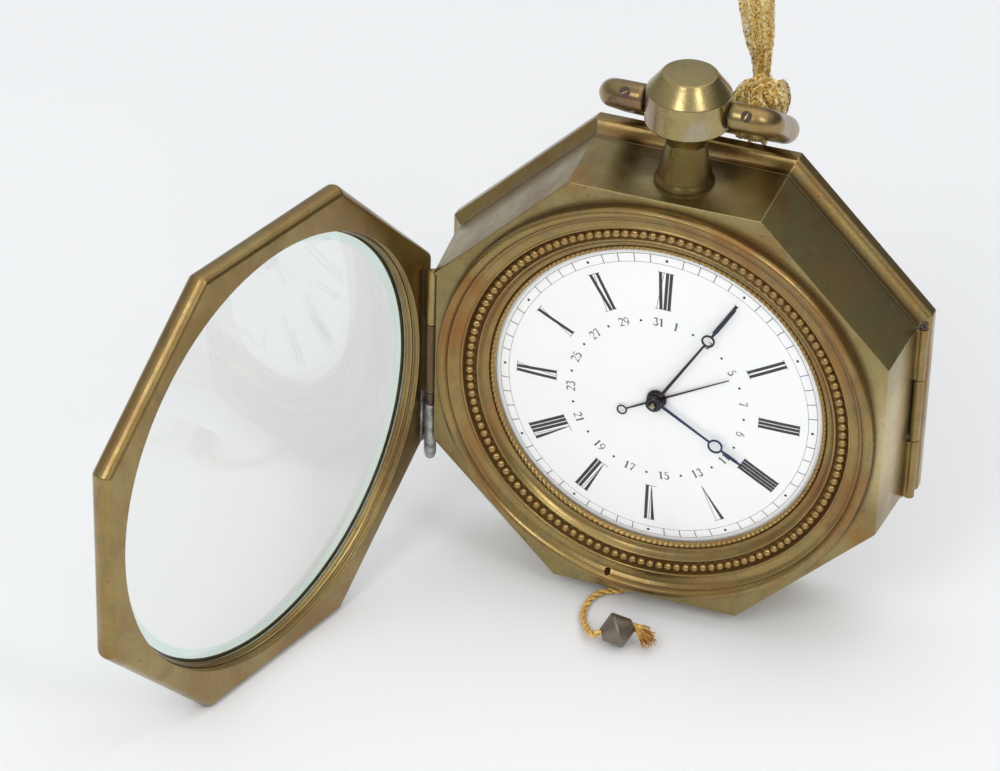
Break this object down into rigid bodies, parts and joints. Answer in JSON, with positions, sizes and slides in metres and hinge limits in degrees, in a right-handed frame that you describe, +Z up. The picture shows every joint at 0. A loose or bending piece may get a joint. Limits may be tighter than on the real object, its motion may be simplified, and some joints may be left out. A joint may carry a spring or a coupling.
{
  "type": "octagonal coach clock-watch",
  "caption": "Octagonal brass travelling clock-watch with enamel dial, calendar hand, hinged glazed door and rear cover, pendant with folding bow, and pull cord with bead.",
  "frame": {"origin": "centre of the flat rear face, on the axis of the dial", "axes": "+Z up along the pendant, +X to the right as the dial is read, +Y out of the rear cover, so the dial faces -Y"},
  "size_m": [0.1679, 0.1631, 0.1838],
  "materials": {
    "case_brass": "aged brass with brown patina, worn bright at the edges",
    "gilt": "fire gilt, satin",
    "steel": "brushed",
    "blued_steel": "blued, darkened",
    "solder": "dull grey solder",
    "enamel": "white vitreous enamel with black painted figures",
    "glass": "clear, bevelled edge",
    "gold_thread": "gold thread",
    "bronze": "dark grey bronze"
  },
  "bodies": {
    "case": {"case_body": "case_brass", "front_bezel": "case_brass", "bead_ring": "gilt", "milled_ring": "gilt", "dial": "enamel", "pendant_stem": "case_brass", "pendant_knob": "case_brass", "front_hinge_case_knuckle": "case_brass", "front_hinge_pin": "steel", "rear_hinge_upper_knuckle": "case_brass", "rear_hinge_lower_knuckle": "case_brass", "rear_hinge_pin": "steel", "cord_bushing": "case_brass", "pillar_plate": "gilt", "top_plate": "gilt", "pillar_1": "gilt", "pillar_2": "gilt", "pillar_3": "gilt", "pillar_4": "gilt", "click": "steel", "balance_cock": "gilt", "balance_spring": "blued_steel", "gong_wire": "blued_steel", "gong_block": "gilt", "pulley_post": "steel"},
    "front_door": {"door_frame": "case_brass", "door_glass": "glass", "glass_ring": "case_brass", "door_upper_knuckle": "case_brass", "door_lower_knuckle": "solder"},
    "back_cover": {"rear_cover": "case_brass", "rear_cover_knuckle": "case_brass"},
    "bow_body": {"bow": "case_brass", "bow_pivot_bar": "steel", "bow_screw_left": "blued_steel", "bow_screw_right": "blued_steel"},
    "ribbon_body": {"ribbon": "gold_thread"},
    "centre": {"minute_hand": "blued_steel", "hand_collet": "blued_steel", "centre_arbor": "gilt", "centre_wheel": "gilt", "cannon_pinion": "steel"},
    "hour": {"hour_hand": "blued_steel", "hour_wheel": "gilt"},
    "minute_work": {"minute_wheel": "gilt"},
    "calendar": {"date_hand": "blued_steel", "date_wheel": "gilt"},
    "barrel": {"mainspring_barrel": "gilt"},
    "winding": {"winding_arbor": "steel"},
    "third": {"third_wheel": "gilt"},
    "fourth": {"fourth_wheel": "gilt"},
    "escape": {"escape_wheel": "steel"},
    "balance": {"balance_wheel": "gilt"},
    "cord": {"pull_cord": "gold_thread", "cord_bead": "bronze", "cord_tassel": "gold_thread"},
    "pulley": {"cord_pulley": "gilt"},
    "hammer": {"repeat_hammer": "steel"}
  },
  "joints": [
    {"name": "door_hinge", "type": "hinge", "parent": "case", "child": "front_door", "pos_m": [-0.0606, -0.0275, 0], "axis": [0, 0, 1], "range_deg": [-5, 80]},
    {"name": "cover_hinge", "type": "hinge", "parent": "case", "child": "back_cover", "pos_m": [0.06305, -0.0086, 0], "axis": [0, 0, -1], "range_deg": [0, 100]},
    {"name": "bow_pivot", "type": "hinge", "parent": "case", "child": "bow_body", "pos_m": [0.0017, -0.0185, 0.0815], "axis": [1, 0, 0], "range_deg": [0, 232]},
    {"name": "ribbon_loop", "type": "hinge", "parent": "bow_body", "child": "ribbon_body", "pos_m": [0.013, 0.00237, 0.06774], "axis": [1, 0, 0], "range_deg": [-232, 0]},
    {"name": "minute_turn", "type": "hinge", "parent": "case", "child": "centre", "pos_m": [0, -0.0295, 0], "axis": [0, 1, 0], "continuous": true},
    {"name": "hour_turn", "type": "hinge", "parent": "case", "child": "hour", "pos_m": [0, -0.0285, 0], "axis": [0, 1, 0], "continuous": true},
    {"name": "minute_wheel_turn", "type": "hinge", "parent": "case", "child": "minute_work", "pos_m": [0.00209, -0.0225, 0.00575], "axis": [0, 1, 0], "continuous": true},
    {"name": "calendar_turn", "type": "hinge", "parent": "case", "child": "calendar", "pos_m": [0, -0.0275, 0], "axis": [0, 1, 0], "continuous": true},
    {"name": "barrel_turn", "type": "hinge", "parent": "case", "child": "barrel", "pos_m": [-0.01197, -0.016, -0.00838], "axis": [0, 1, 0], "continuous": true},
    {"name": "winding_turn", "type": "hinge", "parent": "case", "child": "winding", "pos_m": [-0.01197, -0.012, -0.00838], "axis": [0, 1, 0], "continuous": true},
    {"name": "third_turn", "type": "hinge", "parent": "case", "child": "third", "pos_m": [0.01002, -0.0148, 0.00841], "axis": [0, 1, 0], "continuous": true},
    {"name": "fourth_turn", "type": "hinge", "parent": "case", "child": "fourth", "pos_m": [0.00544, -0.0175, 0.01822], "axis": [0, 1, 0], "continuous": true},
    {"name": "escape_turn", "type": "hinge", "parent": "case", "child": "escape", "pos_m": [-0.00424, -0.0148, 0.01907], "axis": [0, 1, 0], "continuous": true},
    {"name": "balance_swing", "type": "hinge", "parent": "case", "child": "balance", "pos_m": [-0.01008, -0.0081, 0.01622], "axis": [0, 1, 0], "range_deg": [-140, 140]},
    {"name": "cord_pull", "type": "slide", "parent": "case", "child": "cord", "axis": [0, 0, -1], "range_m": [0, 0.025]},
    {"name": "pulley_turn", "type": "hinge", "parent": "case", "child": "pulley", "pos_m": [0.0026, -0.0226, -0.045], "axis": [0, -1, 0], "range_deg": [0, 206]},
    {"name": "hammer_swing", "type": "hinge", "parent": "case", "child": "hammer", "pos_m": [0.028, -0.0075, -0.022], "axis": [0, 1, 0], "range_deg": [0, 18]}
  ],
  "couplings": [
    {"joint": "ribbon_loop", "follows": "bow_pivot", "ratio": -1},
    {"joint": "hour_turn", "follows": "minute_turn", "ratio": 0.083333},
    {"joint": "minute_wheel_turn", "follows": "minute_turn", "ratio": -0.33333},
    {"joint": "third_turn", "follows": "minute_turn", "ratio": -8},
    {"joint": "barrel_turn", "follows": "minute_turn", "ratio": -0.16667},
    {"joint": "fourth_turn", "follows": "minute_turn", "ratio": 60},
    {"joint": "escape_turn", "follows": "minute_turn", "ratio": -420},
    {"joint": "pulley_turn", "follows": "cord_pull", "rad_per_m": 142.86}
  ]
}
